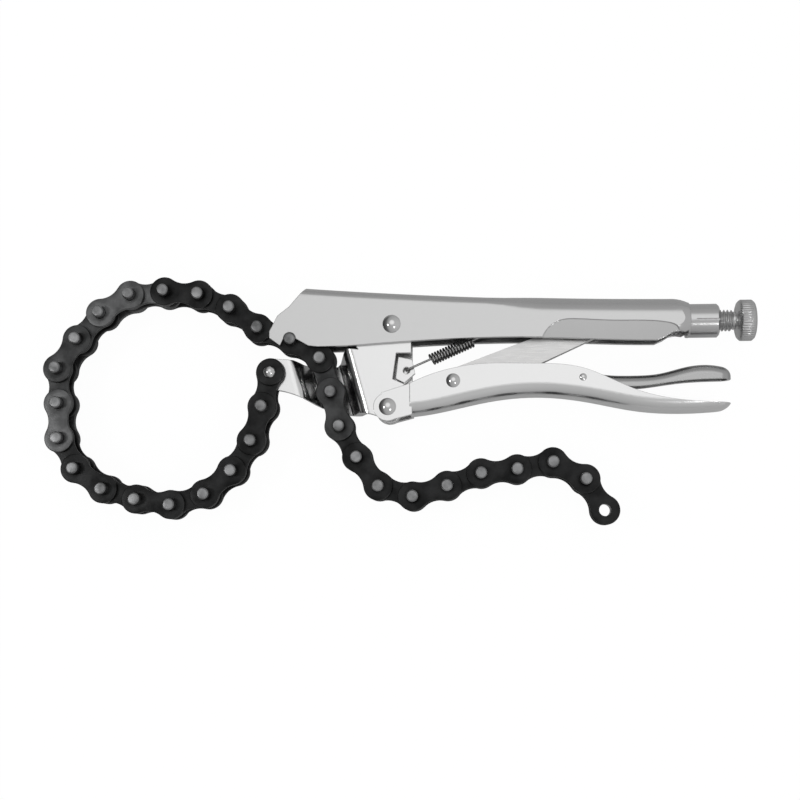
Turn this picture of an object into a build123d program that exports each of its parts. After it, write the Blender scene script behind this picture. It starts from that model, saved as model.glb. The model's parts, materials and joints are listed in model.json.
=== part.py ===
from build123d import *
import math
import os

# Locking chain clamp, lying on its side: X runs from the chain loop to the adjusting screw,
# Y from the lever up to the fixed handle, Z up along the rivets. The pieces are drawn about the
# jaw pivot, in the tool's middle plane, and are moved to the final origin when they are written.
# All sizes are in millimetres and degrees.

# Chain: five eighths of an inch pitch, waisted plates, long pins that hook over the nose
PITCH = 15.875
PLATE = 1.8
PLATE_GAP = 0.05
INNER_HALF = 2.5
HEAD_RADIUS = 6.5
WAIST_HALF = 4.4
PIN_RADIUS = 2.6
RUNNING_FIT = 0.05
BUSH_WALL = 1.1
PIN_PROUD = 4.4
PIN_CHAMFER = 0.5
INNER_OUT = INNER_HALF + PLATE
OUTER_IN = INNER_OUT + PLATE_GAP
OUTER_OUT = OUTER_IN + PLATE
PIN_HALF = OUTER_OUT + PIN_PROUD

# The way the chain lies: the headings of the links that leave the jaw, then those of the loose tail
LOOP_HEADINGS = (-102, -107, -123, -139, -163, 171, 163, 145, 120, 93, 93, 57, 49, 31, 5, -6, -24)
TAIL_HEADINGS = (-33, -72, -76, -60, -53, -17, 17, 20, 6, 11, -28, -58)
CHAIN_START = (-55.0, -20.5)
NOTCH = (-45.7, -6.0)
NOTCH_RADIUS = 2.75

# Fixed handle: a sheet-steel channel with its open side towards the lever. Its back is a gentle
# curve, square-shouldered in front and round about the screw at the rear.
SHEET = 2.5
HANDLE_INSIDE = 6.6
HANDLE_OUTSIDE = HANDLE_INSIDE + SHEET
BACK_HEIGHT = 14.45
BACK_SLOPE = -0.0653
BACK_CURVE = 0.000228
BACK_RISE = 1.3
FRONT_ROUND = 4.5
REAR_ROUND = 8.8
HANDLE_FRONT = -62.0
STATIONS = 26
STATION_STEP = 8.0
ROUND_START = 42.0
ROUND_END = 66.0
HANDLE_REAR = 131.5
HOLLOW_REAR = 130.5
SHOULDER_RADIUS = 9.9
ABOVE = 24.0
BELOW = -14.0
PANEL_STEP = 0.5
PANEL_SLANT = 8.0
PANEL_BACKING = 1.2

# Adjusting screw, three eighths of an inch with sixteen threads to the inch
SCREW_HEIGHT = 1.3
THREAD_RADIUS = 4.76
THREAD_PITCH = 25.4 / 16
THREAD_DEPTH = 0.9
SCREW_TIP = 101.8
TIP_RADIUS = 4.0
KNOB_FRONT = 152.6
KNOB_LENGTH = 7.6
KNOB_RADIUS = 9.15
KNURL_COUNT = 48
FLUTE_RADIUS = 0.5
FLUTE_OUT = 0.22
BOSS_START = 118.0
BOSS_RADIUS = 7.5
BOSS_END = 144.4
SCREW_FIT = 0.09
SEAM_WIDTH = 0.7
SEAM_DEPTH = 0.6
SEAM_LENGTH = 10.2

# Pivots, in the middle plane, and their rivets: shank radius, head radius and head height
JAW_PIVOT = (0.0, 0.0)
LEVER_PIVOT = (-1.8, -36.9)
TOGGLE_PIVOT = (27.2, -25.6)
RELEASE_PIVOT = (84.0, -24.6)
TOGGLE_END = (96.2, SCREW_HEIGHT)
JAW_RIVET = (2.8, 4.0, 2.2)
LEVER_RIVET = (2.6, 3.8, 2.0)
TOGGLE_RIVET = (2.2, 3.1, 1.6)
RELEASE_RIVET = (1.25, 1.6, 0.6)
CHAIN_RIVET = (PIN_RADIUS, 2.9, 2.1)

# Lower jaw: cheeks that run inside the handle, and a neck that steps below the chain
JAW_OUTSIDE = HANDLE_INSIDE - 0.2
JAW_INSIDE = JAW_OUTSIDE - SHEET
NECK = 3.4
NECK_CLEAR = 0.3
NECK_LEVEL = -(PIN_HALF + NECK_CLEAR + NECK / 2)
NECK_SLANT = 0.28
TAB_HALF = 0.9

# Lever: a channel open towards the handle, its two front ears outside the jaw's cheeks
LEVER_SHEET = 2.2
EAR_INSIDE = JAW_OUTSIDE + 0.2
EAR_OUTSIDE = EAR_INSIDE + LEVER_SHEET
LEVER_INSIDE = 7.0
LEVER_OUTSIDE = LEVER_INSIDE + LEVER_SHEET
EAR_RADIUS = 6.3

TOGGLE_HALF = 2.5
TOGGLE_WIDE = 6.0
TOGGLE_NARROW = 4.2

RELEASE_OUTSIDE = 5.5
RELEASE_SHEET = 1.5

SPRING_RADIUS = 2.3
SPRING_WIRE = 0.5
SPRING_PITCH = 1.35
SPRING_TURNS = 15
SPRING_EYE = (6.1, -19.8)
SPRING_POST = (46.5, -2.0)


def slab(outline, low, high):
    """A flat outline drawn in the XY plane, made solid from one height to another."""
    return Pos(0, 0, low) * extrude(outline, high - low, dir=(0, 0, 1))


def closed(*edges):
    """The face inside a ring of edges."""
    return make_face(Curve() + list(edges))


def disc(centre, radius, low, high):
    """A round bar along Z."""
    return slab(Pos(*centre) * Circle(radius), low, high)


def both_sides(outline, low, high):
    """The same plate on both sides of the middle plane."""
    return [slab(outline, low, high), slab(outline, -high, -low)]


def rivet(centre, sizes, grip):
    """A rivet through walls that reach out to grip, with a domed head on each end."""
    shank, head, height = sizes
    dome_radius = (head ** 2 + height ** 2) / (2 * height)
    body = disc(centre, shank, -grip, grip)
    cap = Sphere(dome_radius) & Pos(0, 0, dome_radius) * Box(3 * head, 3 * head, 2 * height)
    near = Pos(centre[0], centre[1], grip + height - dome_radius) * cap
    far = near.mirror(Plane.XY)
    return body + near + far


def along(start, heading, length=PITCH):
    """The point a length further on, in a heading given in degrees."""
    turn = math.radians(heading)
    return (start[0] + length * math.cos(turn), start[1] + length * math.sin(turn))


def chain_pins():
    """The places of the chain's pins, from the jaw's tongue to the open hole in the last link."""
    pins = [CHAIN_START]
    for heading in LOOP_HEADINGS:
        pins.append(along(pins[-1], heading))
    # two more links close the loop: they meet at a pin that lies to the left of the line
    # from the last placed pin to the notch
    last = pins[-1]
    span = math.dist(last, NOTCH)
    bearing = math.degrees(math.atan2(NOTCH[1] - last[1], NOTCH[0] - last[0]))
    rise = math.degrees(math.acos(span / 2 / PITCH))
    pins.append(along(last, bearing - rise))
    pins.append(NOTCH)
    for heading in TAIL_HEADINGS:
        pins.append(along(pins[-1], heading))
    return pins


def link_outline():
    """A waisted plate from one pin at the origin to the next along X."""
    hollow = (PITCH ** 2 / 4 + WAIST_HALF ** 2 - HEAD_RADIUS ** 2) / (2 * (HEAD_RADIUS - WAIST_HALF))
    rise = hollow + WAIST_HALF
    share = HEAD_RADIUS / (hollow + HEAD_RADIUS)
    touch_x = share * PITCH / 2
    touch_y = share * rise
    middle = Pos(PITCH / 2, 0) * Rectangle(PITCH - 2 * touch_x, 2 * touch_y)
    for side in (-1, 1):
        middle -= Pos(PITCH / 2, side * rise) * Circle(hollow)
    return middle + Circle(HEAD_RADIUS) + Pos(PITCH, 0) * Circle(HEAD_RADIUS)


def pierced(outline, radius):
    """A link outline with a hole at each pin."""
    return outline - Circle(radius) - Pos(PITCH, 0) * Circle(radius)


def inner_link(first_bush=True):
    """Two inner plates that turn on the pins, with a spacer bush between them at each pin."""
    bore = PIN_RADIUS + RUNNING_FIT
    plates = both_sides(pierced(link_outline(), bore), INNER_HALF, INNER_OUT)
    ring = Circle(bore + BUSH_WALL) - Circle(bore)
    bushes = [slab(Pos(PITCH, 0) * ring, -INNER_HALF, INNER_HALF)]
    if first_bush:
        bushes.append(slab(ring, -INNER_HALF, INNER_HALF))
    return plates + bushes


def outer_link():
    """Two outer plates pressed on two long pins, whose ends stand proud on both sides."""
    plates = both_sides(pierced(link_outline(), PIN_RADIUS), OUTER_IN, OUTER_OUT)
    pin = Cylinder(PIN_RADIUS, 2 * PIN_HALF)
    pin = chamfer(pin.edges().filter_by(GeomType.CIRCLE), PIN_CHAMFER)
    return plates + [pin, Pos(PITCH, 0) * pin]


def chain_links(pins):
    """Every link of the chain as a list of solids, in its place."""
    links = []
    for number in range(1, len(pins)):
        start = pins[number - 1]
        end = pins[number]
        heading = math.degrees(math.atan2(end[1] - start[1], end[0] - start[0]))
        pieces = outer_link() if number % 2 == 0 else inner_link(first_bush=number > 1)
        links.append([Pos(*start) * Rot(0, 0, heading) * piece for piece in pieces])
    return links


def rear_share(x):
    """Nought in front, one at the rear, with a soft change from the square back to the round one."""
    share = min(max((x - ROUND_START) / (ROUND_END - ROUND_START), 0), 1)
    return share * share * (3 - 2 * share)


def back_height(x):
    """How high the handle's back stands at a place along it."""
    return BACK_HEIGHT + BACK_SLOPE * x + BACK_CURVE * x * x + BACK_RISE * rear_share(x)


def back_round(x):
    """The radius of the back's corners: small in front, almost a half circle at the rear."""
    return FRONT_ROUND + (REAR_ROUND - FRONT_ROUND) * rear_share(x)


def handle_bar(inset):
    """The handle's cross-section carried along its back, as it is outside or a sheet further in."""
    sections = []
    for count in range(STATIONS):
        x = HANDLE_FRONT + STATION_STEP * count
        across = Plane(origin=(x, 0, 0), x_dir=(0, 0, -1), z_dir=(1, 0, 0))
        top = back_height(x) - inset
        sheet = Pos(0, (top + BELOW) / 2) * Rectangle(2 * (HANDLE_OUTSIDE - inset), top - BELOW)
        corners = sheet.vertices().group_by(Axis.Y)[-1]
        sections.append(across * fillet(corners, back_round(x) - inset))
    return loft(sections, ruled=True)


def handle_outline():
    """The side of the fixed handle below its back, with the hook notch in its nose."""
    notch_left = (NOTCH[0] - NOTCH_RADIUS, NOTCH[1])
    notch_top = (NOTCH[0], NOTCH[1] + NOTCH_RADIUS)
    notch_right = (NOTCH[0] + NOTCH_RADIUS, NOTCH[1])
    crown = Polyline((HANDLE_REAR, ABOVE), (-32.8, ABOVE))
    front = Polyline(
        crown @ 1, (-46.1, 8.4), (-51.2, 4.4), (-54.8, -2.6), (-54.8, -5.6), (-50.0, -9.1), notch_left,
    )
    hook = ThreePointArc(notch_left, notch_top, notch_right)
    lip = Polyline(notch_right, (-39.7, -7.9), (-37.2, -9.3), (-33.0, -9.8), (-20.0, -9.6))
    belly = Spline(lip @ 1, (12.7, -7.5), (50.0, -6.4), (74.3, -6.8), (104.0, -8.0), (117.0, -8.2))
    heel = Polyline(
        belly @ 1, (120.6, -6.6), (123.4, -4.8), (126.6, -4.3), (129.4, -4.9), (HANDLE_REAR, -5.8),
    )
    return closed(crown, front, hook, lip, belly, heel, Line(heel @ 1, crown @ 0))


def lower_panel():
    """The lower rear side of the handle, which is pressed in below a curved crease."""
    crease = Spline(
        (66.0, -9.0), (69.5, -2.2), (74.4, 0.8), (80.9, 1.4), (95.0, 0.6), (112.0, 0.3),
        (120.5, -0.5), (125.4, -2.4), (126.0, -6.0),
    )
    return closed(crease, Polyline(crease @ 1, (126.0, BELOW), (66.0, BELOW), crease @ 0))


def panel_press(outline):
    """What the press takes off one side: a wedge that is deeper towards the lever."""
    slope = Pos(95.0, 1.4, HANDLE_OUTSIDE - PANEL_STEP) * Rot(PANEL_SLANT, 0, 0)
    above = slope * Box(100.0, 60.0, 10.0, align=(Align.CENTER, Align.CENTER, Align.MIN))
    return slab(outline, HANDLE_INSIDE, HANDLE_OUTSIDE + 1) & above


def along_screw(radius, start, end):
    """A round bar on the screw's axis."""
    bar = Cylinder(radius, end - start, align=(Align.CENTER, Align.CENTER, Align.MIN))
    return Pos(start, SCREW_HEIGHT) * Rot(0, 90, 0) * bar


def rear_shoulder():
    """The round shape that the handle's rear end is spun down to, where the boss begins."""
    start = HANDLE_REAR - 7.0
    far = 60.0
    end = HANDLE_REAR + 0.5
    middle = (start + 4.6, SHOULDER_RADIUS - 0.9)
    slope = ThreePointArc((start, SHOULDER_RADIUS), middle, (end, BOSS_RADIUS + 0.3))
    front = Polyline((HANDLE_FRONT, 0), (HANDLE_FRONT, far), (start, far), slope @ 0)
    rear = Polyline(slope @ 1, (end, 0), (HANDLE_FRONT, 0))
    return Pos(0, SCREW_HEIGHT) * revolve(closed(front, slope, rear), Axis.X, 360)


def fixed_handle():
    """Channel, hook nose, pressed-in rear panel and the round boss that takes the screw."""
    body = handle_bar(0) & slab(handle_outline(), -20, 20) & rear_shoulder()
    inside = Polyline(
        (HOLLOW_REAR, ABOVE), (HOLLOW_REAR, BELOW), (-60.0, BELOW), (-60.0, 2.0), (-49.6, 2.0),
        (-37.1, 14.8), (-30.0, ABOVE), close=True,
    )
    hollow = handle_bar(SHEET) & slab(make_face(inside), -20, 20)
    body -= hollow
    panel = lower_panel()
    press = panel_press(panel)
    backing = slab(panel, HANDLE_INSIDE - PANEL_BACKING, HANDLE_INSIDE + 0.2)
    backing &= slab(handle_outline(), HANDLE_INSIDE - PANEL_BACKING, HANDLE_INSIDE + 0.2)
    for wall, cut in ((backing, press), (backing.mirror(Plane.XY), press.mirror(Plane.XY))):
        body += wall
        body -= cut
    boss = along_screw(BOSS_RADIUS, BOSS_START, BOSS_END)
    boss = chamfer(boss.edges().group_by(Axis.X)[-1], 0.8)
    post = slab(Pos(SPRING_POST[0] + 2, 5.0) * Rectangle(7.0, 18.0), -TAB_HALF, TAB_HALF)
    post &= handle_bar(0) & slab(handle_outline(), -TAB_HALF, TAB_HALF)
    body += (boss - hollow) + post
    body -= along_screw(THREAD_RADIUS + SCREW_FIT, BOSS_START - 8, BOSS_END + 8)
    seam = Box(SEAM_LENGTH, SEAM_WIDTH, 2 * SEAM_DEPTH)
    body -= Pos(BOSS_END - SEAM_LENGTH / 2, SCREW_HEIGHT - 0.6, BOSS_RADIUS) * seam
    body -= disc(JAW_PIVOT, JAW_RIVET[0], -20, 20)
    body -= disc(SPRING_POST, 1.4, -2, 2)
    return [body]


def adjusting_screw():
    """Plain tip, threaded shank, neck and knurled head, turned about the screw's axis."""
    root = THREAD_RADIUS - THREAD_DEPTH
    groove = SCREW_TIP + 6
    neck = KNOB_FRONT - 1.6
    knob_end = KNOB_FRONT + KNOB_LENGTH
    outline = [(SCREW_TIP, 0), (SCREW_TIP, TIP_RADIUS - 0.8), (SCREW_TIP + 0.8, TIP_RADIUS)]
    outline.append((groove, TIP_RADIUS))
    while groove < neck:
        outline.append((groove, root))
        outline.append((groove + 0.42 * THREAD_PITCH, THREAD_RADIUS))
        outline.append((groove + 0.58 * THREAD_PITCH, THREAD_RADIUS))
        groove += THREAD_PITCH
    outline += [(groove, root), (KNOB_FRONT - 0.2, root + 0.4), (KNOB_FRONT, 5.2), (KNOB_FRONT, 7.8)]
    outline += [(KNOB_FRONT + 1.2, KNOB_RADIUS), (knob_end - 1.2, KNOB_RADIUS)]
    outline += [(knob_end, KNOB_RADIUS - 1.2), (knob_end, 0)]
    screw = revolve(make_face(Polyline(*outline, close=True)), Axis.X, 360)
    middle = KNOB_FRONT + KNOB_LENGTH / 2
    flute = Rot(0, 90, 0) * Cylinder(FLUTE_RADIUS, KNOB_LENGTH + 2)
    flute = Pos(middle, KNOB_RADIUS + FLUTE_OUT, 0) * flute
    for count in range(KNURL_COUNT):
        screw -= Rot(360 * count / KNURL_COUNT, 0, 0) * flute
    return [Pos(0, SCREW_HEIGHT) * screw]


def cheek_outline():
    """One cheek of the lower jaw, from the jaw pivot down to the lever pivot."""
    edge = Polyline(
        (-8.0, 3.0), (-16.0, -9.6), (-15.0, -11.0), (-8.0, -38.4), (-6.0, -40.6), (-1.8, -42.4),
        (3.6, -37.5), (5.0, -27.2), (8.5, -24.4), (8.5, 0.0), (0.0, 8.5), close=True,
    )
    return make_face(edge) + Circle(8.5) + Pos(*LEVER_PIVOT) * Circle(5.5)


def jaw_reach():
    """The outline of the neck and tongue, seen along the rivets."""
    top = Polyline(
        (-55.0, -13.8), (-45.0, -14.6), (-41.0, -16.0), (-26.2, -16.2), (-20.0, -10.2), (-6.0, -12.0),
        (-6.0, -41.0),
    )
    bottom = Spline(top @ 1, (-14.0, -39.0), (-21.5, -38.4), (-32.0, -35.6), (-44.0, -30.4), (-53.0, -28.2))
    tip = ThreePointArc(bottom @ 1, (-61.2, -20.5), top @ 0)
    return closed(top, bottom, tip)


def neck_ribbon():
    """The thick strip that steps down from the cheek, passes under the chain and rises to the tongue."""
    cheek_level = JAW_OUTSIDE - NECK / 2
    path = FilletPolyline(
        (-66.0, 0), (-46.9, 0), (-42.0, NECK_LEVEL), (-25.5, NECK_LEVEL), (-21.0, cheek_level),
        (-6.0, cheek_level), radius=[4.5, 3.0, 3.0, 3.4],
    )
    ribbon = Plane((0, -8.0, 0), x_dir=(1, 0, 0), z_dir=(0, -1, 0)) * trace(path, NECK)
    return extrude(ribbon, 36.0, dir=(NECK_SLANT, -1, 0)) & slab(jaw_reach(), -30, 30)


def spring_tab():
    """The small tab in the jaw's window that the spring hooks into, and the bracket that carries it."""
    tab = Polygon((2.4, -13.4), (8.6, -14.8), (10.0, -21.2), (5.2, -25.4), (1.2, -23.4), align=None)
    bracket = Pos(2.6, -18.6) * Rot(0, 0, -7) * Rectangle(2.0, 9.0)
    return slab(tab, -TAB_HALF, TAB_HALF) + slab(bracket, -JAW_OUTSIDE, -TAB_HALF)


def lower_jaw():
    """Two cheeks, the neck that steps to the far side and back, and the tongue that holds the chain."""
    cheek = cheek_outline()
    window = Polygon((1.8, -12.6), (9.0, -12.6), (12.0, -22.0), (5.0, -26.5), (0.2, -24.3), align=None)
    near = slab(cheek - window, JAW_INSIDE, JAW_OUTSIDE)
    skirt = Polygon(
        (-6.0, -12.0), (-20.6, -11.6), (-21.4, -15.6), (-15.1, -38.2), (-6.0, -38.4), align=None,
    )
    far = slab(cheek + skirt, -JAW_OUTSIDE, -JAW_INSIDE)
    body = near + far + neck_ribbon() + spring_tab()
    body -= disc(SPRING_EYE, 1.6, -2, 2)
    body -= disc(JAW_PIVOT, JAW_RIVET[0] + RUNNING_FIT, -20, 20)
    body -= disc(LEVER_PIVOT, LEVER_RIVET[0], -20, 20)
    body -= disc(CHAIN_START, PIN_RADIUS, -8, 8)
    return [body]


def lever_trough(half, lift, end, corner, bend):
    """A deep trough that follows the lever's web: tall walls, a bent web and a dished rear end."""
    web = [(8.0, -40.4), (20.0, -38.7), (42.0, -34.0), (65.0, -32.0), (87.0, -34.4), (108.0, -38.5)]
    web = [(x, y + lift) for x, y in web + [(130.0, -39.7), (end, -38.4)]]
    walls = Polyline(web[-1], (end, -8.0), (web[0][0], -8.0), web[0])
    body = slab(closed(Spline(*web), walls), -half, half)
    upright = [edge for edge in body.edges().filter_by(Axis.Y) if edge.center().X > end - 1]
    body = fillet(upright, corner)
    bottom = body.faces().sort_by(lambda face: -face.normal_at().Y if face.normal_at().Y < 0 else 0)[-1]
    rim = [edge for edge in bottom.edges() if edge.center().X > 9]
    return fillet(rim, bend)


def lever_trim():
    """Everything below the lever's upper edge."""
    top = Spline(
        (8.0, -26.6), (22.0, -21.2), (38.0, -18.3), (60.0, -18.2), (83.0, -20.1),
        (94.0, -24.3), (106.0, -29.8), (124.0, -34.4), (146.0, -35.9), (152.0, -36.0),
    )
    return closed(top, Polyline((152.0, -36.0), (152.0, -60.0), (8.0, -60.0), (8.0, -26.6)))


def lever_ear():
    """The front lobe of one lever wall, round about the lever pivot."""
    lobe = Polygon((9.0, -40.4), (-1.8, -43.2), (-4.6, -30.6), (8.0, -26.6), (9.0, -26.2), align=None)
    return lobe + Pos(*LEVER_PIVOT) * Circle(EAR_RADIUS)


def lever():
    """A channel with a bent web at the bottom; its two front ears take the lever pivot."""
    body = lever_trough(LEVER_OUTSIDE, 0, 149.0, 7.0, 5.5) & slab(lever_trim(), -20, 20)
    body -= lever_trough(LEVER_INSIDE, LEVER_SHEET, 149.0 - LEVER_SHEET, 5.0, 3.3)
    for ear in both_sides(lever_ear(), EAR_INSIDE, EAR_OUTSIDE):
        body += ear
    body -= disc(LEVER_PIVOT, LEVER_RIVET[0] + RUNNING_FIT, -20, 20)
    body -= disc(TOGGLE_PIVOT, TOGGLE_RIVET[0], -20, 20)
    body -= disc(RELEASE_PIVOT, RELEASE_RIVET[0], -20, 20)
    return [body]


def toggle_link():
    """A strap from the lever to the screw tip, wide at the lever and round at both ends."""
    front = Pos(*TOGGLE_PIVOT) * Circle(TOGGLE_WIDE)
    bend = Pos(62.0, -12.6) * Circle(TOGGLE_WIDE)
    rear = Pos(*TOGGLE_END) * Circle(TOGGLE_NARROW)
    strap = make_hull([*front.edges(), *bend.edges()]) + make_hull([*bend.edges(), *rear.edges()])
    body = slab(strap, -TOGGLE_HALF, TOGGLE_HALF)
    body -= disc(TOGGLE_PIVOT, TOGGLE_RIVET[0] + RUNNING_FIT, -20, 20)
    return [body]


def toggle_bushes():
    """Spacers on the toggle rivet, between the strap and the lever's walls."""
    ring = Pos(*TOGGLE_PIVOT) * (Circle(TOGGLE_RIVET[0] + 1.6) - Circle(TOGGLE_RIVET[0]))
    return both_sides(ring, TOGGLE_HALF + 0.1, LEVER_INSIDE)


def release_shell(half, drop, start, end, corner, bend):
    """A deep cover that follows the release lever's upper side, with a rounded rear end."""
    top = [(74.0, -19.6), (84.0, -20.8), (94.0, -22.7), (106.0, -23.2), (118.0, -22.4), (130.4, -19.4)]
    top = [(x, y) for x, y in top if x >= start] + [(140.0, -18.8), (end, -21.0)]
    top = [(x, y - drop) for x, y in top]
    walls = Polyline(top[-1], (end, -45.0), (top[0][0], -45.0), top[0])
    body = slab(closed(Spline(*top), walls), -half, half)
    upright = [edge for edge in body.edges().filter_by(Axis.Y) if edge.center().X > end - 1]
    body = fillet(upright, corner)
    roof = body.faces().sort_by(lambda face: face.normal_at().Y)[-1]
    rim = [edge for edge in roof.edges() if edge.center().X > top[0][0] + 1]
    return fillet(rim, bend)


def release_lever():
    """A dished tab, open underneath, that turns on a small pin in the lever."""
    under = Spline(
        (152.0, -25.2), (141.0, -25.3), (130.0, -25.8), (119.0, -27.1), (107.0, -28.4), (96.0, -27.8),
        (84.0, -27.6),
    )
    rest = Polyline(under @ 1, (76.0, -23.6), (73.0, -18.0), (73.0, -10.0), (152.0, -10.0), under @ 0)
    body = release_shell(RELEASE_OUTSIDE, 0, 74.0, 149.0, 4.8, 4.2) & slab(closed(under, rest), -20, 20)
    inside = RELEASE_OUTSIDE - RELEASE_SHEET
    body -= release_shell(inside, RELEASE_SHEET, 90.0, 149.0 - RELEASE_SHEET, 3.4, 2.7)
    body -= disc(RELEASE_PIVOT, RELEASE_RIVET[0] + RUNNING_FIT, -20, 20)
    return [body]


def spring_hook(length):
    """A straight wire with a round hook at its end, bent down through a hole at the origin."""
    bend = SPRING_RADIUS - 0.3
    run = Line((length, 0, SPRING_RADIUS), (bend, 0, SPRING_RADIUS))
    turn = ThreePointArc(run @ 1, (0, 0, 0.3), (bend, 0, 0.6 - SPRING_RADIUS))
    wire = Plane(run @ 0, z_dir=run % 0) * Circle(SPRING_WIRE)
    return sweep(wire, Curve() + [run, turn]) + Pos(length, 0, SPRING_RADIUS) * Sphere(SPRING_WIRE)


def opening_spring():
    """A close-wound spring between the jaw's tab and the handle's lug, with a round hook at each end."""
    run = math.dist(SPRING_EYE, SPRING_POST)
    slope = math.degrees(math.atan2(SPRING_POST[1] - SPRING_EYE[1], SPRING_POST[0] - SPRING_EYE[0]))
    coil_length = SPRING_PITCH * SPRING_TURNS
    hook_length = (run - coil_length) / 2
    helix = Helix(SPRING_PITCH, coil_length, SPRING_RADIUS)
    wire = Plane(helix @ 0, z_dir=helix % 0) * Circle(SPRING_WIRE)
    coil = Pos(hook_length, 0, 0) * Rot(180, 0, 0) * Rot(0, 90, 0) * sweep(wire, helix, is_frenet=True)
    hook = spring_hook(hook_length)
    spring = coil + hook + Pos(run, 0, 0) * Rot(0, 0, 180) * hook
    return [Pos(*SPRING_EYE) * Rot(0, 0, slope) * spring]


def chain_washers():
    """The two round washers under the chain rivet's heads."""
    ring = Pos(*CHAIN_START) * (Circle(HEAD_RADIUS - 0.4) - Circle(PIN_RADIUS))
    return both_sides(ring, OUTER_IN, OUTER_OUT)


def build():
    """Every node of the clamp: its name and its solids, about the jaw pivot."""
    nodes = {
        "fixed_handle": fixed_handle(),
        "adjusting_screw": adjusting_screw(),
        "lower_jaw": lower_jaw(),
        "jaw_pivot_rivet": [rivet(JAW_PIVOT, JAW_RIVET, HANDLE_OUTSIDE)],
        "lever": lever(),
        "lever_pivot_rivet": [rivet(LEVER_PIVOT, LEVER_RIVET, EAR_OUTSIDE + RUNNING_FIT)],
        "toggle_link": toggle_link(),
        "toggle_rivet": [rivet(TOGGLE_PIVOT, TOGGLE_RIVET, LEVER_OUTSIDE)],
        "toggle_bushes": toggle_bushes(),
        "release_lever": release_lever(),
        "release_pin": [rivet(RELEASE_PIVOT, RELEASE_RIVET, LEVER_OUTSIDE)],
        "opening_spring": opening_spring(),
        "chain_rivet": [rivet(CHAIN_START, CHAIN_RIVET, OUTER_OUT)],
        "chain_washers": chain_washers(),
    }
    for number, pieces in enumerate(chain_links(chain_pins()), start=1):
        nodes[f"chain_link_{number:02d}"] = pieces
    return nodes


def main():
    nodes = build()
    solids = [solid for pieces in nodes.values() for piece in pieces for solid in piece.solids()]
    everything = Compound(solids)
    box = everything.bounding_box()
    centre = box.center()
    origin = Pos(-centre.X, -centre.Y, -box.min.Z)
    print("the jaw pivot is at", -centre.X, -centre.Y, -box.min.Z)
    os.makedirs("parts", exist_ok=True)
    for name, pieces in nodes.items():
        solids = [origin * solid for piece in pieces for solid in piece.solids()]
        export_step(Compound(solids), f"parts/{name}.step")
        print(name, len(solids))


if __name__ == "__main__":
    main()
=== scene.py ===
# %% [markdown]
# # Dressing a locking chain clamp
# The steel parts of this tool already exist at their real size, each in its own named node. This
# lesson gives them their looks: nickel plate, dark oxide, worn edges, and the small rounded forms
# that stamping and riveting leave behind. The first step loads those nodes. Everything that follows
# is placed by asking them where they are, because a place that is typed in twice soon disagrees
# with itself.

# %% Load the clamp
import json
import math

import bmesh
import bpy
from mathutils import Matrix, Vector


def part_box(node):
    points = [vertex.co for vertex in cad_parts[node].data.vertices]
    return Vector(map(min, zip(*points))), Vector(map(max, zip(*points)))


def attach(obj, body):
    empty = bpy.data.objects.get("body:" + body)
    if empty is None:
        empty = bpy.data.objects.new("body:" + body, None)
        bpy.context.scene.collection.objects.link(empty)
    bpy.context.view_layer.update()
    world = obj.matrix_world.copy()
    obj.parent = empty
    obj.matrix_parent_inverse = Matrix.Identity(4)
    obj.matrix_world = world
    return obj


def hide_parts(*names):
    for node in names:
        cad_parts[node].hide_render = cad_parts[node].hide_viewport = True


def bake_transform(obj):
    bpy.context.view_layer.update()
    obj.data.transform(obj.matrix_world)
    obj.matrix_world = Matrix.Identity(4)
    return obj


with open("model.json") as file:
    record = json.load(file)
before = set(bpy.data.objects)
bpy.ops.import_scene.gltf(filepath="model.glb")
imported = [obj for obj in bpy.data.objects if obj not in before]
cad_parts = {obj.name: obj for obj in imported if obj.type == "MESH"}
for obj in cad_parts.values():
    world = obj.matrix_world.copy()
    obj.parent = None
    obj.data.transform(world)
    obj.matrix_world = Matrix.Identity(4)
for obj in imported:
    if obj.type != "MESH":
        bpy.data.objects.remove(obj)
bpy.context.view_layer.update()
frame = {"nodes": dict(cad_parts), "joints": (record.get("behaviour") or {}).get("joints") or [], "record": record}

MM = 0.001

# %% [markdown]
# ## The camera first
# The clamp was photographed from above while it lay on a white table, with the lens a little to the
# right of it and tipped by eight degrees. A camera could be aimed by eye, but then every later
# comparison would also compare two guesses. The chain gives better advice: its pins are all one
# pitch apart, so the distance and the tilt can be worked out from them. Only the results are kept
# here, as a place over the jaw pivot and two angles.

# %% Place the camera
joint_place = {joint["name"]: Vector(joint.get("pos_m", (0, 0, 0))) for joint in frame["joints"]}
JAW_PIVOT = joint_place["jaw_swing"]
CAMERA_FROM_PIVOT = Vector((41.3, -101.3, 556.9)) * MM
CAMERA_PITCH = math.radians(6.98)
CAMERA_ROLL = math.radians(3.92)
SENSOR_WIDTH = 36.0
FOCAL_SHARE = 1.57

camera_data = bpy.data.cameras.new("camera")
camera_data.sensor_width = SENSOR_WIDTH
camera_data.lens = SENSOR_WIDTH * FOCAL_SHARE
camera = bpy.data.objects.new("camera", camera_data)
camera.location = JAW_PIVOT + CAMERA_FROM_PIVOT
camera.rotation_euler = (CAMERA_PITCH, CAMERA_ROLL, 0)
bpy.context.scene.collection.objects.link(camera)
bpy.context.scene.camera = camera
print("camera at", [round(value, 3) for value in camera.location])

# %% [markdown]
# ## Shader maths that reads like arithmetic
# A procedural finish is mostly sums: a scratch mask times a strength, one minus a wear mask. Built
# node by node, such a sum takes ten lines and hides its meaning. A small class that holds one
# output socket can carry the plus and minus signs instead, and each sign adds the Math node that it
# stands for. The reflected forms matter too, because one minus a mask puts the number first.

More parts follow.
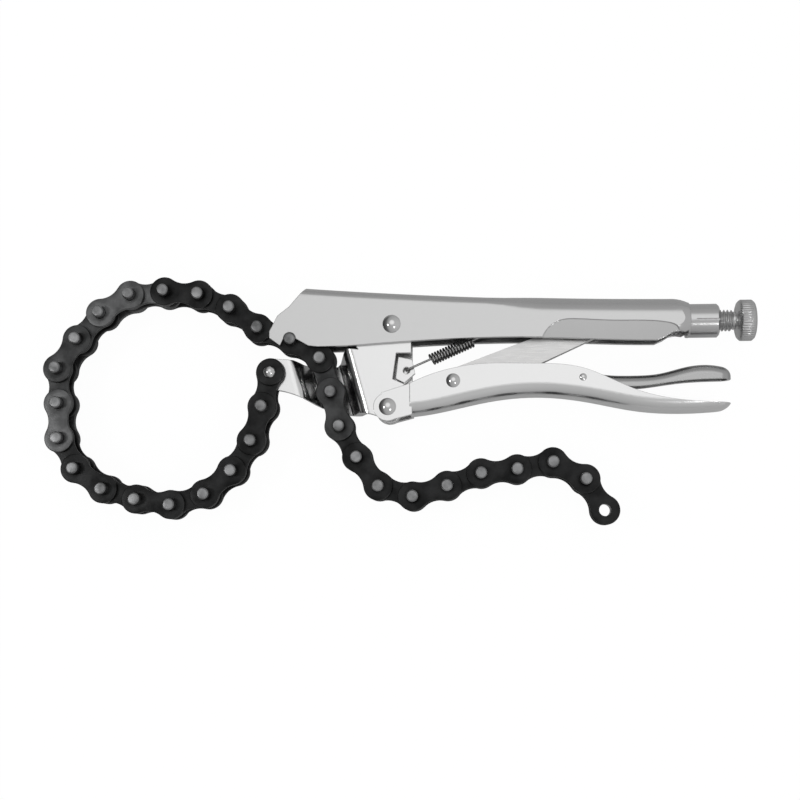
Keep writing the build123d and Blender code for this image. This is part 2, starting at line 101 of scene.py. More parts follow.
# %% A socket that can be added and multiplied
class Wire:
    """One output of a node, in a finish."""

    def __init__(self, finish, node, output=0):
        self.finish = finish
        self.node = node
        self.socket = node.outputs[output]

    def out(self, name):
        return Wire(self.finish, self.node, name)

    def maths(self, operation, *values):
        return self.finish.add("ShaderNodeMath", {"operation": operation}, dict(enumerate(values)))

    def __add__(self, other):
        return self.maths("ADD", self, other)

    def __sub__(self, other):
        return self.maths("SUBTRACT", self, other)

    def __rsub__(self, other):
        return self.maths("SUBTRACT", other, self)

    def __mul__(self, other):
        return self.maths("MULTIPLY", self, other)

    def __pow__(self, other):
        return self.maths("POWER", self, other)

    __radd__ = __add__
    __rmul__ = __mul__


# %% [markdown]
# ## One place where nodes are made
# The other half of the helper is the finish itself. It owns a material and has one method for every
# node that isn't plain arithmetic. The settings of a node, such as its operation, go in first,
# because some of them decide which sockets it has. A ramp's stops and a colour mix come often
# enough to have a short form each.

# %% The finish that owns the nodes
class Finish:
    """A material with a Principled surface, and one way to add nodes to it."""

    def __init__(self, name, **constants):
        self.material = bpy.data.materials.new(name)
        self.material.use_nodes = True
        self.tree = self.material.node_tree
        self.surface = self.tree.nodes["Principled BSDF"]
        for socket, value in constants.items():
            self.surface.inputs[socket.replace("_", " ").title()].default_value = value

    def add(self, kind, settings=None, inputs=None):
        node = self.tree.nodes.new(kind)
        for key, value in (settings or {}).items():
            if key == "stops":
                self.set_stops(node.color_ramp, value)
            else:
                setattr(node, key, value)
        for key, value in (inputs or {}).items():
            if isinstance(value, Wire):
                self.tree.links.new(value.socket, node.inputs[key])
            else:
                node.inputs[key].default_value = value
        return Wire(self, node)

    def set_stops(self, ramp, stops):
        while len(ramp.elements) < len(stops):
            ramp.elements.new(1.0)
        for element, (position, grey) in zip(ramp.elements, stops):
            element.position = position
            element.color = (grey, grey, grey, 1)

    def ramp(self, value, *stops):
        return self.add("ShaderNodeValToRGB", {"stops": stops}, {0: value})

    def mix(self, share, first, second):
        wires = {0: share, 6: first, 7: second}
        return Wire(self, self.add("ShaderNodeMix", {"data_type": "RGBA"}, wires).node, 2)

    def noise(self, scale, detail=3.0, stretch=None):
        """Cloudy noise in the piece's own space, drawn out along an axis where stretch says so."""
        place = self.add("ShaderNodeTexCoord").out("Object")
        if stretch:
            place = self.add("ShaderNodeVectorMath", {"operation": "MULTIPLY"}, {0: place, 1: stretch})
        return self.add("ShaderNodeTexNoise", {}, {"Vector": place, "Scale": scale, "Detail": detail})

    def edges(self, radius, gain):
        """A mask that is one on sharp edges: where the rounded normal leaves the real one."""
        rounded = self.add("ShaderNodeBevel", {"samples": 4}, {"Radius": radius})
        flat = self.add("ShaderNodeNewGeometry").out("Normal")
        same = self.add("ShaderNodeVectorMath", {"operation": "DOT_PRODUCT"}, {0: rounded, 1: flat})
        return self.ramp((1 - same.out("Value")) * gain, (0.0, 0.0), (1.0, 1.0))

    def crevice_shade_mask(self, distance):
        """A mask that is one in corners that a polishing wheel and the light don't reach: it paints dirt and shade
        there.
        """
        settings = {"samples": 4, "only_local": True}
        open_share = self.add("ShaderNodeAmbientOcclusion", settings, {"Distance": distance})
        return 1 - open_share.out("AO")

    def feed(self, **wires):
        for socket, wire in wires.items():
            self.tree.links.new(wire.socket, self.surface.inputs[socket.replace("_", " ").title()])
        return self


def grey(level, warmth=0.0):
    """A nearly neutral colour, a little redder or bluer than grey."""
    return (level * (1 + warmth), level, level * (1 - warmth), 1)


print("helpers ready")

# %% [markdown]
# ## The studio
# A catalogue picture of polished steel is lit by what the steel can see. Three broad lamps overhead
# would do, but nickel would then show three bright rectangles. One large soft window in the sky,
# a little behind the tool, gives calmer light: a flat side mirrors the window and turns almost
# white, and as soon as the sheet bends, it leaves the window and mirrors grey. That is how a bend
# gets its crisp line. The rest of the sky is darker on the left, so that domes get a dark side.
# The floor counts as white for the camera, and still takes a faint shadow.

# %% Floor, world and lamps
FLOOR_HALF = 3.0
FLOOR_DROP = 0.0002
SEEN_SHARE = 0.88
MIRRORED_SHARE = 0.18


def make_floor():
    mesh = bpy.data.meshes.new("floor")
    corners = [(-FLOOR_HALF, -FLOOR_HALF, 0), (FLOOR_HALF, -FLOOR_HALF, 0)]
    corners += [(FLOOR_HALF, FLOOR_HALF, 0), (-FLOOR_HALF, FLOOR_HALF, 0)]
    mesh.from_pydata(corners, [], [(0, 1, 2, 3)])
    floor = bpy.data.objects.new("floor", mesh)
    floor.location.z = -FLOOR_DROP
    bpy.context.scene.collection.objects.link(floor)
    return floor


def floor_finish():
    finish = Finish("floor_white", base_color=grey(0.45), roughness=0.9)
    paths = finish.add("ShaderNodeLightPath")
    glow = finish.add("ShaderNodeEmission", {}, {"Color": grey(1.0), "Strength": 1.1})
    mirrored = paths.out("Is Glossy Ray") + paths.out("Is Transmission Ray")
    share = paths.out("Is Camera Ray") * SEEN_SHARE + mirrored * MIRRORED_SHARE
    blend = finish.add("ShaderNodeMixShader", {}, {0: share, 2: glow})
    finish.tree.links.new(finish.surface.outputs[0], blend.node.inputs[1])
    finish.tree.links.new(blend.socket, finish.tree.nodes["Material Output"].inputs["Surface"])
    return finish.material


WINDOW_AIM = (0.02, 0.30, 0.954)
WINDOW = ((0.0, 0.0), (0.9425, 0.0), (0.9825, 1.0))
WINDOW_GLOW = 0.50
SIDE_AIM = (0.80, 0.0, 0.60)
SIDE = ((0.08, 0.03), (0.36, 0.14), (0.50, 0.40), (0.80, 0.52), (1.0, 0.58))


def aimed_ramp(nodes, links, place, aim, stops):
    """A grey for each direction in the sky: one end of the ramp lies at the aim, the other opposite."""
    turned = nodes.new("ShaderNodeVectorMath")
    turned.operation = "DOT_PRODUCT"
    turned.inputs[1].default_value = aim
    links.new(place.outputs["Generated"], turned.inputs[0])
    share = nodes.new("ShaderNodeMath")
    share.operation = "MULTIPLY_ADD"
    share.inputs[1].default_value = 0.5
    share.inputs[2].default_value = 0.5
    links.new(turned.outputs["Value"], share.inputs[0])
    ramp = nodes.new("ShaderNodeValToRGB")
    while len(ramp.color_ramp.elements) < len(stops):
        ramp.color_ramp.elements.new(1.0)
    for stop, (height, level) in zip(ramp.color_ramp.elements, stops):
        stop.position = height
        stop.color = grey(level)
    links.new(share.outputs[0], ramp.inputs[0])
    return ramp.outputs["Color"]


def make_world():
    world = bpy.data.worlds.new("studio")
    world.use_nodes = True
    nodes = world.node_tree.nodes
    links = world.node_tree.links
    place = nodes.new("ShaderNodeTexCoord")
    both = nodes.new("ShaderNodeVectorMath")
    both.operation = "MULTIPLY_ADD"
    links.new(aimed_ramp(nodes, links, place, WINDOW_AIM, WINDOW), both.inputs[0])
    both.inputs[1].default_value = (WINDOW_GLOW,) * 3
    links.new(aimed_ramp(nodes, links, place, SIDE_AIM, SIDE), both.inputs[2])
    links.new(both.outputs[0], nodes["Background"].inputs["Color"])
    bpy.context.scene.world = world


def soft_lamp(name, place, side, power):
    data = bpy.data.lights.new(name, "AREA")
    data.size = side
    data.energy = power
    lamp = bpy.data.objects.new(name, data)
    lamp.location = place
    lamp.rotation_euler = (-Vector(place)).to_track_quat("-Z", "Y").to_euler()
    bpy.context.scene.collection.objects.link(lamp)
    return lamp


floor = make_floor()
floor.data.materials.append(floor_finish())
make_world()
soft_lamp("left_lamp", (-0.60, -0.05, 0.80), 0.16, 0.9)
soft_lamp("right_lamp", (0.42, -0.45, 0.80), 0.12, 0.5)
bpy.context.scene.view_settings.view_transform = "Standard"
print("studio ready")

# %% [markdown]
# ## Nickel plate
# The handles, the jaw and the rivets are pressed steel with a satin nickel plate. Plating copies
# the steel below it, so it shows a faint grain along the sheet, and cloudy patches where hands
# have been. An image could carry all that, but it would stretch round the
# bends. Noise in the piece's own space doesn't stretch. Sheet edges are never quite sharp either,
# and a Bevel node rounds them in the light without touching the exact solids.

# %% Nickel, bright and satin
EDGE_ROUND = 0.00045
GRAIN_STRETCH = (0.12, 1.0, 1.0)


def nickel(name, level, roughness, grain_strength=0.02):
    finish = Finish(name, metallic=1.0)
    cloud = finish.noise(38.0, 4.0)
    grain = finish.noise(2600.0, 2.0, GRAIN_STRETCH)
    # Ambient occlusion darkens closed corners towards a dark grey: partly dirt, partly painted shade.
    dirt_and_painted_shade = finish.ramp(finish.crevice_shade_mask(0.0022), (0.45, 0.0), (1.0, 1.0))
    clean = finish.mix(cloud, grey(level * 0.93, 0.0), grey(level, 0.0))
    finish.feed(base_color=finish.mix(dirt_and_painted_shade * 0.5, clean, grey(level * 0.35, 0.01)))
    finish.feed(roughness=roughness + (cloud - 0.5) * 0.12 + (grain - 0.5) * 0.08)
    rounded = finish.add("ShaderNodeBevel", {"samples": 6}, {"Radius": EDGE_ROUND})
    details = {"Strength": grain_strength, "Distance": 0.0001, "Height": grain, "Normal": rounded}
    finish.feed(normal=finish.add("ShaderNodeBump", {}, details))
    return finish.material


HANDLE_NICKEL = nickel("handle_nickel", 0.64, 0.22)
LEVER_NICKEL = nickel("lever_nickel", 0.84, 0.20)
# The release lever gets a darker copy of the same nickel, as painted shade for its shaded lower face.
SHADED_RELEASE_NICKEL = nickel("release_nickel_painted_shade", 0.50, 0.26)
RIVET_NICKEL = nickel("rivet_nickel", 0.74, 0.10, 0.01)
SCREW_NICKEL = nickel("screw_nickel", 0.60, 0.22)
print("nickel ready")

# %% [markdown]
# ## Oiled oxide
# The chain is blackened and oiled. Oxide is thin, so it wears off first where links rub: along the
# stamped edges and on the ends of the pins, where bare steel shows through as a lighter grey. The
# edges could be painted by hand, link by link. The same edge test that rounds the nickel finds them
# all at once, and noise breaks the wear up so that it doesn't look drawn. Links that catch more light
# get lighter copies of the same oxide, with a little more edge wear, so there are three strengths of
# it: the lighter film is painted light.

# %% Oxide on the plates and worn steel on the pins
def oxide(name, dark, light, wear_colour, wear_amount):
    finish = Finish(name, metallic=1.0)
    cloud = finish.noise(160.0, 5.0)
    speckle = finish.noise(1900.0, 3.0)
    worn = finish.edges(0.0005, 5.0) * finish.ramp(cloud, (0.35, 0.25), (0.65, 1.0)) * wear_amount
    film = finish.mix(finish.ramp(cloud, (0.35, 0.0), (0.68, 1.0)), grey(dark, -0.01), grey(light, -0.01))
    finish.feed(base_color=finish.mix(worn, film, grey(wear_colour, 0.01)))
    finish.feed(roughness=0.40 + (cloud - 0.5) * 0.35 + (speckle - 0.5) * 0.20)
    details = {"Strength": 0.25, "Distance": 0.00008, "Height": speckle}
    finish.feed(normal=finish.add("ShaderNodeBump", {}, details))
    return finish.material


# The two lighter copies below are painted light, for links where more light falls.
PLATE_OXIDE = oxide("chain_oxide", 0.016, 0.038, 0.20, 0.8)
LIT_OXIDE = oxide("chain_oxide_painted_lit", 0.036, 0.085, 0.26, 0.9)
BRIGHT_LIT_OXIDE = oxide("chain_oxide_painted_bright", 0.080, 0.170, 0.30, 0.9)
PIN_STEEL = oxide("chain_pin_steel", 0.14, 0.40, 0.42, 0.4)
print("oxide ready")

# %% [markdown]
# ## Plain steel
# The strap inside the tool and the spring are not plated. A strap that was cut from bar shows the
# lines of the mill along its length, and spring wire is drawn through a die that leaves it smooth
# and dark.

# %% Milled strap and drawn wire
def bare_steel(name, level, roughness, stretch):
    finish = Finish(name, metallic=1.0)
    lines = finish.noise(1500.0, 2.0, stretch)
    stain = finish.noise(120.0, 4.0)
    finish.feed(base_color=finish.mix(stain, grey(level * 0.85, 0.01), grey(level, 0.0)))
    finish.feed(roughness=roughness + (lines - 0.5) * 0.25 + (stain - 0.5) * 0.15)
    rounded = finish.add("ShaderNodeBevel", {"samples": 4}, {"Radius": 0.0002})
    details = {"Strength": 0.12, "Distance": 0.0001, "Height": lines, "Normal": rounded}
    finish.feed(normal=finish.add("ShaderNodeBump", {}, details))
    return finish.material


STRAP_STEEL = bare_steel("toggle_steel", 0.76, 0.30, (0.10, 1.0, 1.0))
SPRING_STEEL = bare_steel("spring_steel", 0.42, 0.28, (1.0, 1.0, 1.0))
print("bare steel ready")

# %% [markdown]
# ## Solids that keep their exact shape
# The pressed pieces already have the right form, so they keep their meshes and only get a finish.
# A node's finish is changed in its material slots, which leaves its shape alone.

# %% Give the pressed pieces their finish
FINISH_OF = {
    "fixed_handle": HANDLE_NICKEL,
    "lower_jaw": LEVER_NICKEL,
    "lever": LEVER_NICKEL,
    "release_lever": SHADED_RELEASE_NICKEL,
    "toggle_link": STRAP_STEEL,
    "toggle_bushes": STRAP_STEEL,
}
for name, finish in FINISH_OF.items():
    slots = frame["nodes"][name].data.materials
    slots.clear()
    slots.append(finish)
print("dressed", ", ".join(FINISH_OF))

# %% [markdown]
# ## Turned pieces
# Rivets, washers, bushes and pins are round, so one helper can spin them all: it takes the outline
# of half a section and carries it round an axis. A cylinder with a sphere on it would be quicker,
# but a rivet head meets the sheet in a small dark step, and that step is what the eye looks for.
# The helper adds to a mesh that is being built, so a link's two plates and four rings can end up in
# one object.

# %% A helper that spins an outline, and one that finishes a piece
def spin(shape, outline, centre, material=0, steps=48):
    """Carries an outline of (radius, height) points in millimetres round an upright axis."""
    rings = []
    for radius, height in outline:
        if radius == 0:
            rings.append([shape.verts.new(Vector((centre[0], centre[1], height)) * MM)])
            continue
        ring = []
        for step in range(steps):
            turn = math.tau * step / steps
            spot = (centre[0] + radius * math.cos(turn), centre[1] + radius * math.sin(turn), height)
            ring.append(shape.verts.new(Vector(spot) * MM))
        rings.append(ring)
    join_rings(shape, rings, material)
    return rings


def join_rings(shape, rings, material):
    """Faces from each ring of points to the next, with a fan where a ring is one point."""
    for first, second in zip(rings, rings[1:]):
        count = max(len(first), len(second))
        for step in range(count):
            after = (step + 1) % count
            corners = [first[step % len(first)], first[after % len(first)]]
            corners += [second[after % len(second)], second[step % len(second)]]
            face = shape.faces.new(list(dict.fromkeys(corners)))
            face.material_index = material


def finish_piece(name, shape, finishes, body, replaced, crease=35.0):
    """Turns a built shape into an object that rides on its body and stands for a node."""
    bmesh.ops.recalc_face_normals(shape, faces=shape.faces)
    mesh = bpy.data.meshes.new(name)
    shape.to_mesh(mesh)
    shape.free()
    for material in finishes:
        mesh.materials.append(material)
    mesh.shade_smooth()
    mesh.set_sharp_from_angle(angle=math.radians(crease))
    piece = bpy.data.objects.new(name, mesh)
    bpy.context.scene.collection.objects.link(piece)
    if body:
        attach(piece, body)
    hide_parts(replaced)
    return piece


def middle(node):
    """Where a node's box has its middle, in millimetres."""
    low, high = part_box(node)
    return (Vector(low) + Vector(high)) / 2 / MM


print("spinning helper ready")

# %% [markdown]
# ## Rivets
# Five rivets hold the tool together. Each is a shank with a low dome at both ends, set with a
# press, so the dome ends in a short upright rim. Sizes come from the nodes that they replace: half
# the box is the head's radius, and its height is the rivet's length.

# %% Set the rivets
RIVETS = {
    "jaw_pivot_rivet": ("handle", 2.8, 2.2),
    "lever_pivot_rivet": ("jaw", 2.6, 2.0),
    "toggle_rivet": ("lever", 2.2, 1.6),
    "release_pin": ("lever", 1.25, 0.6),
    "chain_rivet": ("jaw", 2.6, 2.1),
}
RIM_SHARE = 0.18
DOME_STEPS = 9


def dome_outline(head, rise, top):
    """Half of a rivet head from its crown to its rim, as (radius, height) points."""
    rim = rise * RIM_SHARE
    crown = rise - rim
    ball = (head ** 2 + crown ** 2) / (2 * crown)
    sweep = math.asin(head / ball)
    points = [(0.0, top)]
    for step in range(1, DOME_STEPS + 1):
        angle = sweep * step / DOME_STEPS
        points.append((ball * math.sin(angle), top - ball * (1 - math.cos(angle))))
    return points + [(head, top - rise)]


for name, (body, shank, rise) in RIVETS.items():
    low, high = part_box(name)
    centre = middle(name)
    head = (high[0] - low[0]) / 2 / MM
    half = (high[2] - low[2]) / 2 / MM
    upper = dome_outline(head, rise, half)
    outline = upper + [(shank, half - rise)]
    outline += [(radius, -height) for radius, height in reversed(outline)]
    shape = bmesh.new()
    spin(shape, [(radius, height + centre.z) for radius, height in outline], centre)
    finish_piece(f"{name}_set", shape, [RIVET_NICKEL], body, name)
print("set", len(RIVETS), "rivets")

# %% [markdown]
# ## Chain plates
# Every link has two stamped plates with a waist. A stamped edge is rolled over on one side and torn
# on the other, and both are slightly round after tumbling. The outline is made of four arcs that
# touch, and it can be set in by any amount by making two of them smaller and two larger. That gives
# rings for the rounded edge with no modifier. The flat faces have holes for the pins, and a
# triangle fill between the loops makes them.

# %% Draw one plate
OUTER_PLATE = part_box("chain_link_02")
PIN_HALF = (OUTER_PLATE[1][2] - OUTER_PLATE[0][2]) / 2 / MM
CHAIN_LEVEL = JAW_PIVOT.z / MM
PITCH = (joint_place["chain_joint_03"] - joint_place["chain_joint_02"]).length / MM
HEAD_RADIUS = 6.5
WAIST_HALF = 4.4
PLATE_ROUND = 0.4
HOLE_ROUND = 0.25
ROUND_STEPS = 3
HEAD_STEPS = 26
WAIST_STEPS = 8
PIN_RADIUS = 2.6
PIN_FIT = 0.06
hollow_radius = (PITCH ** 2 / 4 + WAIST_HALF ** 2 - HEAD_RADIUS ** 2) / (2 * (HEAD_RADIUS - WAIST_HALF))
hollow_rise = hollow_radius + WAIST_HALF
touch_angle = math.atan2(hollow_rise, PITCH / 2)


def arc(centre, radius, start, end, steps):
    """Points along an arc, without its last one."""
    turns = [start + (end - start) * step / steps for step in range(steps)]
    return [(centre[0] + radius * math.cos(turn), centre[1] + radius * math.sin(turn)) for turn in turns]


def plate_ring(inset):
    """The plate's outline, set in by a little all round."""
    head = HEAD_RADIUS - inset
    hollow = hollow_radius + inset
    ring = arc((0, 0), head, touch_angle, math.tau - touch_angle, HEAD_STEPS)
    ring += arc((PITCH / 2, -hollow_rise), hollow, math.pi - touch_angle, touch_angle, WAIST_STEPS)
    ring += arc((PITCH, 0), head, touch_angle - math.pi, math.pi - touch_angle, HEAD_STEPS)
    ring += arc((PITCH / 2, hollow_rise), hollow, -touch_angle, touch_angle - math.pi, WAIST_STEPS)
    return ring


def rounding(radius, low, high):
    """(inset, height) pairs that round both edges of a plate."""
    turns = [math.pi / 2 * step / ROUND_STEPS for step in range(ROUND_STEPS + 1)]
    lower = [(radius * (1 - math.sin(turn)), low + radius * (1 - math.cos(turn))) for turn in turns]
    return lower + [(inset, low + high - height) for inset, height in reversed(lower)]


def add_plate(shape, low, high, hole):
    """One plate between two heights, with a hole at each end."""
    walls = [[plate_ring(inset), height] for inset, height in rounding(PLATE_ROUND, low, high)]
    rims = []
    for points, height in walls:
        rims.append([shape.verts.new(Vector((x, y, height)) * MM) for x, y in points])
    join_rings(shape, rims, 0)
    loops = [(rims[0], rims[-1])]
    for centre in ((0, 0), (PITCH, 0)):
        bore = [(hole + inset, height) for inset, height in rounding(HOLE_ROUND, low, high)]
        rings = spin(shape, bore, centre, steps=32)
        loops.append((rings[0], rings[-1]))
    for side in (0, 1):
        edges = [edge for loop in loops for edge in loop_edges(loop[side])]
        bmesh.ops.triangle_fill(shape, use_beauty=True, use_dissolve=False, edges=edges)


def loop_edges(ring):
    """The edges that join a ring of points."""
    around = zip(ring, ring[1:] + ring[:1])
    return [edge for first, second in around for edge in first.link_edges if edge.other_vert(first) == second]


print("plate outline of", len(plate_ring(0)), "points, pitch", round(PITCH, 3))

# %% [markdown]
# ## Pins and bushes
# A pin runs through both outer plates and stands proud on both sides, so that it can hook over the
# nose of the tool. Its ends are chamfered, and years of hooking polish them. A bush is a plain ring
# between the inner plates, mostly hidden, but the gap between two plates looks empty without it.

# %% Build the two kinds of link
INNER_HALF = 2.5
PLATE_THICK = 1.8
PLATE_GAP = 0.05
BUSH_WALL = 1.1
PIN_CHAMFER = 0.5
PIN_CROWN = 0.12
inner_top = INNER_HALF + PLATE_THICK
outer_low = inner_top + PLATE_GAP
outer_top = outer_low + PLATE_THICK


def pin_outline():
    """Half a pin's section from end to end, with chamfered and slightly crowned ends."""
    end = [(0.0, PIN_HALF), (PIN_RADIUS - 1.2, PIN_HALF - PIN_CROWN * 0.3)]
    end.append((PIN_RADIUS - PIN_CHAMFER, PIN_HALF - PIN_CROWN))
    end.append((PIN_RADIUS, PIN_HALF - PIN_CHAMFER - PIN_CROWN))
    return end + [(radius, -height) for radius, height in reversed(end)]


def inner_link_shape(bushes):
    shape = bmesh.new()
    bore = PIN_RADIUS + PIN_FIT
    add_plate(shape, INNER_HALF, inner_top, bore)
    add_plate(shape, -inner_top, -INNER_HALF, bore)
    for along in bushes:
        outside = bore + BUSH_WALL
        ring = [(bore, -INNER_HALF), (outside, -INNER_HALF), (outside, INNER_HALF), (bore, INNER_HALF)]
        spin(shape, ring + ring[:1], (along, 0), material=1, steps=36)
    return shape


def outer_link_shape():
    shape = bmesh.new()
    add_plate(shape, outer_low, outer_top, PIN_RADIUS + PIN_FIT)
    add_plate(shape, -outer_top, -outer_low, PIN_RADIUS + PIN_FIT)
    for along in (0, PITCH):
        spin(shape, pin_outline(), (along, 0), material=1)
    return shape


print("inner plates end at", inner_top, "and outer ones at", round(outer_top, 2))

# %% [markdown]
# ## The chain in its place
# Thirty-one links follow each other from the jaw's tongue, round the loop, over the nose and along
# the loose tail. The joints say where each pin is, so a link is turned from its own joint to the
# next one, and the last one ends at the open hole that the record names as a mount. An array on a
# curve would be shorter to write, but a curve rounds the corners that real links make.

# %% Lay the chain
LINKS = 31
# Links where more light falls get the lighter oxide copies: painted light.
LIT_LINKS = {10: BRIGHT_LIT_OXIDE, 14: BRIGHT_LIT_OXIDE, 15: BRIGHT_LIT_OXIDE}
for number in (11, 12, 13, 21, 22):
    LIT_LINKS[number] = LIT_OXIDE
end_hole = next(mount for mount in frame["record"]["mounts"] if mount["name"] == "chain_end_hole")
pins = [joint_place[f"chain_joint_{number:02d}"] for number in range(1, LINKS + 1)]
pins.append(Vector(end_hole["pos_m"]))

for number in range(1, LINKS + 1):
    start = pins[number - 1]
    run = pins[number] - start
    if number % 2 == 0:
        shape = outer_link_shape()
    else:
        shape = inner_link_shape((PITCH,) if number == 1 else (0, PITCH))
    place = Matrix.Translation((start.x, start.y, JAW_PIVOT.z))
    turn = Matrix.Rotation(math.atan2(run.y, run.x), 4, "Z")
    bmesh.ops.transform(shape, matrix=place @ turn, verts=shape.verts)
    name = f"chain_link_{number:02d}"
    finishes = [LIT_LINKS.get(number, PLATE_OXIDE), PIN_STEEL]
    finish_piece(f"{name}_worn", shape, finishes, f"link_{number:02d}", name)
print("laid", LINKS, "links")

# %% [markdown]
# ## Washers under the chain's rivet
# The first link is held to the jaw's tongue by a rivet with a washer on each side. They are as
# thick as an outer plate, because they take its place.

# %% Spin the two washers
WASHER_RADIUS = 6.1
shape = bmesh.new()
centre = middle("chain_washers")
for low, high in ((outer_low, outer_top), (-outer_top, -outer_low)):
    edge = rounding(PLATE_ROUND, low, high)
    bore = [(PIN_RADIUS + inset, height) for inset, height in rounding(HOLE_ROUND, low, high)]
    outline = [(WASHER_RADIUS - inset, height) for inset, height in edge] + bore[::-1]
    outline = [(radius, height + CHAIN_LEVEL) for radius, height in outline]
    spin(shape, outline + outline[:1], centre)
bmesh.ops.remove_doubles(shape, verts=shape.verts, dist=1e-7)
finish_piece("chain_washers_worn", shape, [PLATE_OXIDE], "jaw", "chain_washers")
print("washers at", [round(value, 1) for value in centre])

# %% [markdown]
# ## Wire and threads
# A spring and a screw thread are the same job: a small section that is carried along a path. For a
# wire the section is a circle and stays square to the path. The helper works out a direction at
# each point, and turns the section as little as possible from one point to the next, so the wire
# doesn't twist.

# %% A helper that sweeps a round wire
def sweep_wire(shape, path, radius, steps=12):
    """A closed round wire along a list of points."""
    side = Vector((0, 0, 1))
    rings = []
    for index, point in enumerate(path):
        ahead = path[min(index + 1, len(path) - 1)] - path[max(index - 1, 0)]
        ahead.normalize()
        side = (side - ahead * side.dot(ahead)).normalized()
        across = ahead.cross(side)
        turns = [math.tau * step / steps for step in range(steps)]
        ring = [point + (side * math.cos(turn) + across * math.sin(turn)) * radius for turn in turns]
        rings.append([shape.verts.new(spot) for spot in ring])
    join_rings(shape, rings, 0)
    shape.faces.new(rings[0])
    shape.faces.new(rings[-1])


print("wire helper ready")

# %% [markdown]
# ## The opening spring
# When the lock lets go, a small spring pulls the jaw open. It hooks into a tab on the jaw and a lug
# in the handle, so its two ends belong to different bodies. A rigid mesh would tear out of one of
# them when the jaw swings. This one is wound in its resting place and rides on neither body.

# %% Wind the spring
SPRING_EYE = JAW_PIVOT + Vector((6.1, -19.8, 0)) * MM
SPRING_LUG = JAW_PIVOT + Vector((46.5, -2.0, 0)) * MM
SPRING_RADIUS = 2.3
SPRING_WIRE = 0.5
SPRING_PITCH = 1.35
SPRING_TURNS = 15
TURN_STEPS = 20
HOOK_STEPS = 12


def spring_path():
    """The wire's line in millimetres along X: hook, coil and hook."""
    run = (SPRING_LUG - SPRING_EYE).length / MM
    coil = SPRING_PITCH * SPRING_TURNS
    lead = (run - coil) / 2
    bend = SPRING_RADIUS - 0.3
    hook = []
    for step in range(HOOK_STEPS + 1):
        turn = math.pi / 2 + math.pi * (1 - step / HOOK_STEPS)
        hook.append(Vector((bend + bend * math.cos(turn), 0, 0.3 + bend * math.sin(turn))))
    path = hook
    for step in range(TURN_STEPS * SPRING_TURNS + 1):
        turn = math.tau * step / TURN_STEPS
        along = lead + SPRING_PITCH * step / TURN_STEPS
        path.append(Vector((along, SPRING_RADIUS * math.sin(turn), SPRING_RADIUS * math.cos(turn))))
    far = [Vector((run - point.x, 0, point.z)) for point in reversed(hook[: HOOK_STEPS + 1])]
    return path + far


shape = bmesh.new()
sweep_wire(shape, [point * MM for point in spring_path()], SPRING_WIRE * MM)
lean = SPRING_LUG - SPRING_EYE
place = Matrix.Translation(SPRING_EYE) @ Matrix.Rotation(math.atan2(lean.y, lean.x), 4, "Z")
bmesh.ops.transform(shape, matrix=place, verts=shape.verts)
spring = finish_piece("opening_spring_wound", shape, [SPRING_STEEL], None, "opening_spring")
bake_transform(spring)
print("wound", SPRING_TURNS, "turns")

# %% [markdown]
# ## The adjusting screw
# A knurled head at the rear turns a fine thread through the handle's boss. The solid has rings in
# place of a thread, which is true to size but never climbs. Here the ridge is a real helix on a
# core, and its height fades out at both ends, as a thread does that was cut on a lathe. The knurl
# is a wave round the head's rim.

# %% Cut the screw
SCREW_HEIGHT = 1.3
THREAD_RADIUS = 4.76
THREAD_PITCH = 25.4 / 16
THREAD_DEPTH = 0.9
TIP_LENGTH = 6.0
TIP_RADIUS = 4.0
KNOB_LENGTH = 7.6
KNOB_RADIUS = 9.15
KNURLS = 48
KNURL_DEPTH = 0.3
KNURL_STEPS = 8
THREAD_STEPS = 40
screw_low, screw_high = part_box("adjusting_screw")
screw_tip = (screw_low[0] - JAW_PIVOT.x) / MM
knob_end = (screw_high[0] - JAW_PIVOT.x) / MM
knob_front = knob_end - KNOB_LENGTH


def round_bar(shape, outline, steps, wave=0.0, waves=0):
    """Spins (along, radius) points about X, with a wavy rim where wave isn't nought."""
    rings = []
    for along, radius in outline:
        if radius == 0:
            rings.append([shape.verts.new(Vector((along, 0, 0)) * MM)])
            continue
        ring = []
        for step in range(steps):
            turn = math.tau * step / steps
            dip = wave * (0.5 - 0.5 * math.cos(waves * turn)) if radius > KNOB_RADIUS - 0.5 else 0
            reach = radius - dip
            ring.append(shape.verts.new(Vector((along, reach * math.sin(turn), reach * math.cos(turn))) * MM))
        rings.append(ring)
    join_rings(shape, rings, 0)


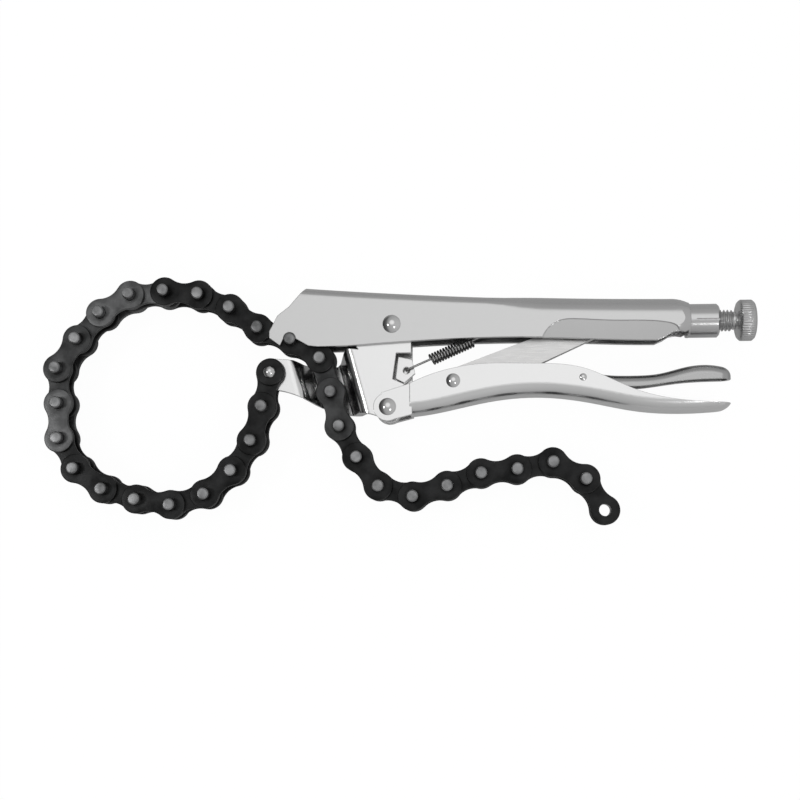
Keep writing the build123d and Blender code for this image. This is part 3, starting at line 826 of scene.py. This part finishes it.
def thread_ridge(shape, start, end, root, crest):
    """A helical ridge with a flat top, closed at both ends."""
    turns = (end - start) / THREAD_PITCH
    count = int(turns * THREAD_STEPS)
    rings = []
    for step in range(count + 1):
        turn = math.tau * step / THREAD_STEPS
        along = start + THREAD_PITCH * step / THREAD_STEPS
        fade = min(1.0, step / THREAD_STEPS, (count - step) / THREAD_STEPS)
        top = root + (crest - root) * max(fade, 0.05)
        section = [(0.0, root - 0.25), (0.36, top), (0.52, top), (0.88, root - 0.25)]
        points = [(along + share * THREAD_PITCH, radius) for share, radius in section]
        ring = [Vector((x, radius * math.sin(turn), radius * math.cos(turn))) * MM for x, radius in points]
        rings.append([shape.verts.new(spot) for spot in ring])
    join_rings(shape, rings, 0)
    shape.faces.new(rings[0])
    shape.faces.new(rings[-1])


root = THREAD_RADIUS - THREAD_DEPTH
thread_start = screw_tip + TIP_LENGTH
core = [(screw_tip, 0), (screw_tip, TIP_RADIUS - 0.8), (screw_tip + 0.8, TIP_RADIUS)]
core += [(thread_start - 0.5, TIP_RADIUS), (thread_start, root), (knob_front - 0.4, root)]
core += [(knob_front, root + 0.4), (knob_front + 1.0, root + 0.4), (knob_front + 1.0, 0)]
knob = [(knob_front, 0), (knob_front, 7.4), (knob_front + 0.25, 8.1), (knob_front + 0.9, KNOB_RADIUS - 0.4)]
knob += [(knob_front + 1.4, KNOB_RADIUS), (knob_end - 1.4, KNOB_RADIUS), (knob_end - 0.9, KNOB_RADIUS - 0.4)]
knob += [(knob_end - 0.25, 8.1), (knob_end, 7.4), (knob_end, 0)]
shape = bmesh.new()
round_bar(shape, core, 48)
round_bar(shape, knob, KNURLS * KNURL_STEPS, KNURL_DEPTH, KNURLS)
thread_ridge(shape, thread_start, knob_front - 1.8, root, THREAD_RADIUS)
screw_place = JAW_PIVOT + Vector((0, SCREW_HEIGHT, 0)) * MM
bmesh.ops.transform(shape, matrix=Matrix.Translation(screw_place), verts=shape.verts)
finish_piece("adjusting_screw_cut", shape, [SCREW_NICKEL], "screw", "adjusting_screw")
print("screw from", round(screw_tip, 1), "to", round(knob_end, 1))
